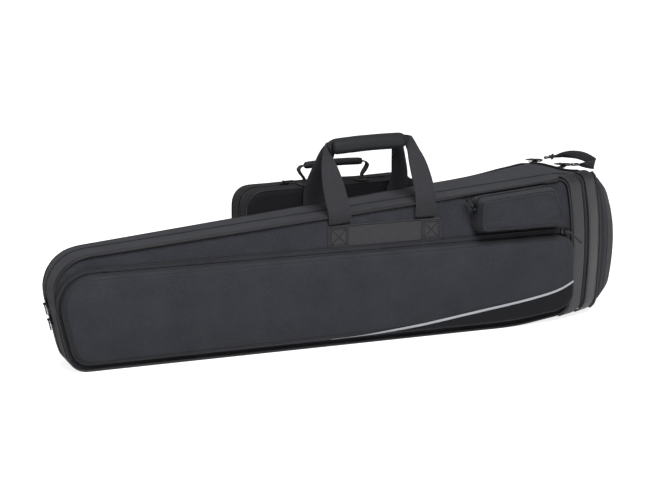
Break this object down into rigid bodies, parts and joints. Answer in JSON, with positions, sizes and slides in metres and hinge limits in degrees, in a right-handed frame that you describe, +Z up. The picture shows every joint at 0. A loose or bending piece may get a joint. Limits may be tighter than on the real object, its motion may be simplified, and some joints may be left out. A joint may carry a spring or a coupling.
{
  "type": "soft trombone case with zipped lid, front pocket, pouch and clip-on music bag",
  "caption": "Soft wedge-shaped case with a domed bell end: zipped lid on a cloth hinge, fitted foam inside, outer pocket, pouch, carrying handle and haul strap.",
  "frame": {"origin": "centre of the bounding box at the floor, with the case standing on its long bottom edge", "axes": "+X towards the bell end, +Y towards the back where the music bag hangs, +Z up"},
  "size_m": [1.0304, 0.266, 0.3299],
  "materials": {
    "cloth": "charcoal woven nylon with a fine crosshatch",
    "dark_cloth": "near black woven nylon, plainer than the front cloth",
    "piping": "satin vinyl piping",
    "band": "grey grained synthetic leather with sewn edges",
    "zip_tape": "black zip tape with a nylon coil",
    "plush": "short dark plush over foam",
    "webbing": "ribbed nylon webbing",
    "grip": "padded synthetic leather",
    "reflective": "silver reflective tape",
    "zip_metal": "black lacquered die-cast metal",
    "cord": "black moulded cord",
    "strap_metal": "bright plated steel",
    "buckle": "black moulded nylon"
  },
  "bodies": {
    "shell": {"shell": "cloth", "shell_piping": "piping", "bell_band_shell": "band", "zip_tape_shell": "zip_tape", "hinge_strip": "dark_cloth", "shell_insert": "plush", "bell_strap": "webbing", "rear_handle_patch_left": "webbing", "rear_handle_patch_right": "webbing", "shell_pad_left": "plush", "shell_pad_right": "plush", "ring_tab_rear": "webbing", "ring_tab_front": "webbing"},
    "lid": {"lid": "cloth", "lid_piping": "piping", "bell_band_lid": "band", "zip_tape_lid": "zip_tape", "lid_lining": "plush", "slide_cradle_left": "plush", "slide_cradle_right": "plush", "slide_strap_left": "webbing", "slide_strap_right": "webbing", "handle_base": "webbing", "pocket_zip": "zip_tape", "pouch_back": "cloth"},
    "main_slider_upper": {"main_slider_upper": "zip_metal"},
    "main_puller_upper": {"main_puller_upper": "zip_metal"},
    "main_slider_lower": {"main_slider_lower": "zip_metal"},
    "main_puller_lower": {"main_puller_lower": "zip_metal"},
    "pocket": {"pocket_front": "cloth", "pocket_lower_panel": "dark_cloth", "reflective_trim": "reflective"},
    "pocket_slider": {"pocket_slider": "zip_metal"},
    "pocket_puller": {"pocket_puller": "cord"},
    "pouch": {"pouch_cover": "cloth"},
    "pouch_slider": {"pouch_slider": "zip_metal"},
    "pouch_puller": {"pouch_puller": "cord"},
    "front_handle": {"front_handle_webbing": "webbing", "handle_grip": "grip"},
    "rear_handle": {"rear_handle_webbing": "webbing"},
    "bag": {"bag_body": "dark_cloth", "bag_pad_left": "plush", "bag_pad_right": "plush", "bag_tab_left": "webbing", "bag_tab_right": "webbing"},
    "bag_cover": {"bag_cover": "dark_cloth"},
    "bag_slider": {"bag_slider": "zip_metal"},
    "bag_puller": {"bag_puller": "zip_metal"},
    "bag_handle": {"bag_handle_webbing": "webbing", "bag_handle_grip": "grip"},
    "haul_strap": {"d_ring_rear": "strap_metal", "d_ring_front": "strap_metal", "snap_hook_rear": "strap_metal", "snap_hook_front": "strap_metal", "haul_webbing": "webbing", "haul_buckle": "buckle"}
  },
  "joints": [
    {"name": "lid_swing", "type": "hinge", "parent": "shell", "child": "lid", "pos_m": [-0.074, -0.04997, 0], "axis": [1, 0, 0], "range_deg": [0, 165]},
    {"name": "main_slider_upper_run", "type": "slide", "parent": "shell", "child": "main_slider_upper", "axis": [-0.2111, 0, 0.9775], "range_m": [-0.003, 0.005]},
    {"name": "main_puller_upper_turn", "type": "hinge", "parent": "main_slider_upper", "child": "main_puller_upper", "pos_m": [-0.5133, -0.04997, 0.09993], "axis": [0, 1, 0], "range_deg": [0, 165]},
    {"name": "main_slider_lower_run", "type": "slide", "parent": "shell", "child": "main_slider_lower", "axis": [-0.2111, 0, 0.9775], "range_m": [-0.034, 0.002]},
    {"name": "main_puller_lower_turn", "type": "hinge", "parent": "main_slider_lower", "child": "main_puller_lower", "pos_m": [-0.5079, -0.04997, 0.07493], "axis": [0, 1, 0], "range_deg": [0, 110]},
    {"name": "pocket_open", "type": "hinge", "parent": "lid", "child": "pocket", "pos_m": [-0.01103, -0.09557, 0.009], "axis": [1, 0, 0], "range_deg": [0, 20]},
    {"name": "pocket_slider_run", "type": "slide", "parent": "lid", "child": "pocket_slider", "axis": [-1, 0, 0], "range_m": [0, 0.78]},
    {"name": "pocket_puller_turn", "type": "hinge", "parent": "pocket_slider", "child": "pocket_puller", "pos_m": [0.35217, -0.10342, 0.1559], "axis": [0, 0, -1], "range_deg": [-10, 105]},
    {"name": "pouch_open", "type": "hinge", "parent": "lid", "child": "pouch", "pos_m": [-0.01103, -0.11297, 0.17], "axis": [1, 0, 0], "range_deg": [0, 60]},
    {"name": "pouch_slider_run", "type": "slide", "parent": "lid", "child": "pouch_slider", "axis": [0, 0, -1], "range_m": [0, 0.02]},
    {"name": "pouch_puller_turn", "type": "hinge", "parent": "pouch_slider", "child": "pouch_puller", "pos_m": [0.17792, -0.11297, 0.20741], "axis": [0, -1, 0], "range_deg": [0, 110]},
    {"name": "front_handle_swing", "type": "hinge", "parent": "lid", "child": "front_handle", "pos_m": [-0.01103, -0.09917, 0.197], "axis": [1, 0, 0], "range_deg": [0, 150]},
    {"name": "rear_handle_swing", "type": "hinge", "parent": "shell", "child": "rear_handle", "pos_m": [-0.05103, 0.01563, 0.2], "axis": [-0.9975, -0.07, 0], "range_deg": [0, 13]},
    {"name": "bag_detach", "type": "slide", "parent": "shell", "child": "bag", "axis": [-0.07, 0.9975, 0], "range_m": [0, 0.15]},
    {"name": "bag_open", "type": "hinge", "parent": "bag", "child": "bag_cover", "pos_m": [-0.00498, 0.06085, 0.004], "axis": [-0.9975, -0.07, 0], "range_deg": [0, 90]},
    {"name": "bag_slider_run", "type": "slide", "parent": "bag", "child": "bag_slider", "axis": [-0.9975, -0.07, 0], "range_m": [-0.2, 0.04]},
    {"name": "bag_puller_turn", "type": "hinge", "parent": "bag_slider", "child": "bag_puller", "pos_m": [-0.08603, 0.05517, 0.24305], "axis": [0.07, -0.9975, 0], "range_deg": [0, 165]},
    {"name": "bag_handle_swing", "type": "hinge", "parent": "bag", "child": "bag_handle", "pos_m": [-0.00375, 0.04339, 0.2402], "axis": [0.9975, 0.07, 0], "range_deg": [-50, 10]},
    {"name": "haul_strap_swing", "type": "hinge", "parent": "shell", "child": "haul_strap", "pos_m": [0.38697, 0.07703, 0.2447], "axis": [0.29, -0.9569, 0.019], "range_deg": [0, 110]}
  ]
}
